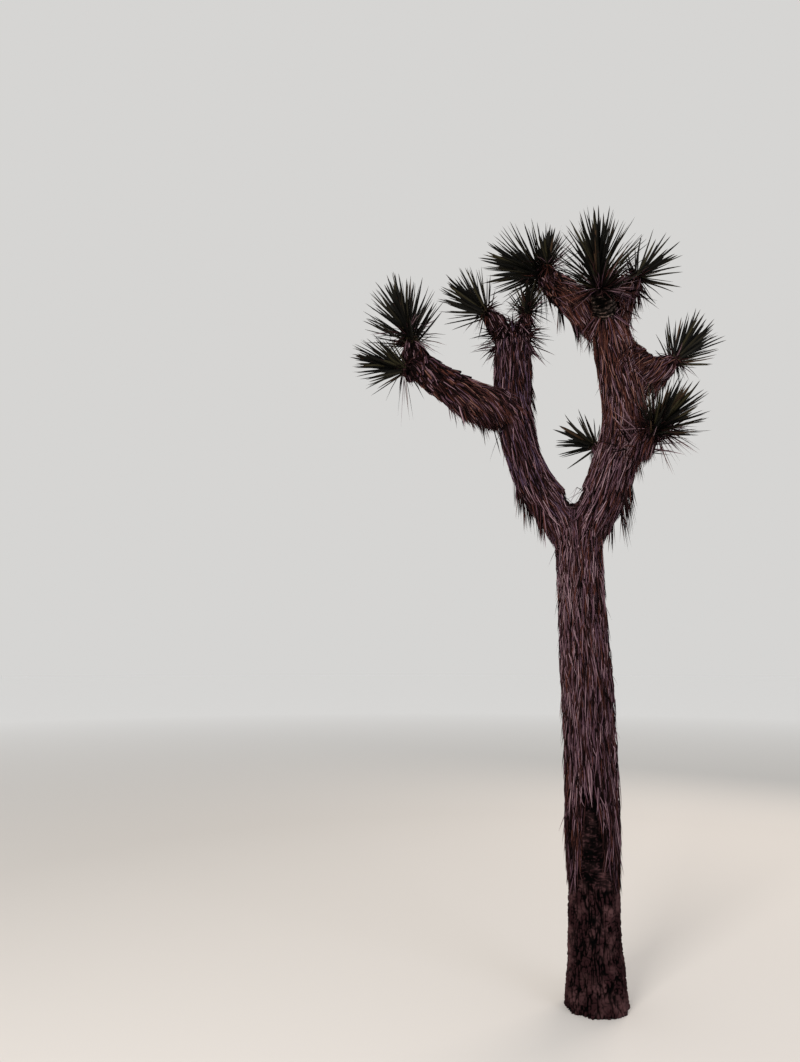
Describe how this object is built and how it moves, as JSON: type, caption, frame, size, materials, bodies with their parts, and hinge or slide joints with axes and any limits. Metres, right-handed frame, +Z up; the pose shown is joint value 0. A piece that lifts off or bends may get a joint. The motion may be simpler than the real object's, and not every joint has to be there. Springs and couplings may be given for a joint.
{
  "type": "joshua tree",
  "caption": "Joshua tree: a straight trunk forks into boughs, arms and short spurs, each ending in a rosette of dagger leaves; dead leaves thatch the limbs.",
  "frame": {"origin": "middle of the flat cut under the trunk, at ground level", "axes": "+Z up along the trunk, +X to the tree's right as seen from the front, -Y towards the viewer in front"},
  "size_m": [2.1115, 1.1159, 4.4853],
  "materials": {
    "bark": "dark furrowed corky bark under shaggy dead leaves, matt",
    "thatch": "thatch of drooping dry dead leaves, mauve-brown and grey, matt",
    "leaves": "stiff waxy dark green dagger leaves with brown tips, soft sheen"
  },
  "bodies": {
    "root": {"trunk": "bark", "right_bough": "thatch", "left_bough": "thatch", "left_upright": "thatch", "left_arm": "thatch", "right_arm": "thatch", "top_left_arm": "thatch", "top_right_arm": "thatch", "top_front_spur": "thatch", "top_left_small_spur": "thatch", "lower_right_spur": "thatch", "inner_spur": "thatch", "left_upright_left_spur": "thatch", "left_upright_right_spur": "thatch", "left_arm_upper_spur": "thatch", "left_arm_lower_spur": "thatch", "top_front_rosette": "leaves", "top_left_rosette": "leaves", "top_left_small_rosette": "leaves", "top_right_rosette": "leaves", "right_arm_rosette": "leaves", "lower_right_rosette": "leaves", "inner_rosette": "leaves", "left_upright_left_rosette": "leaves", "left_upright_right_rosette": "leaves", "left_arm_upper_rosette": "leaves", "left_arm_lower_rosette": "leaves"}
  },
  "joints": []
}
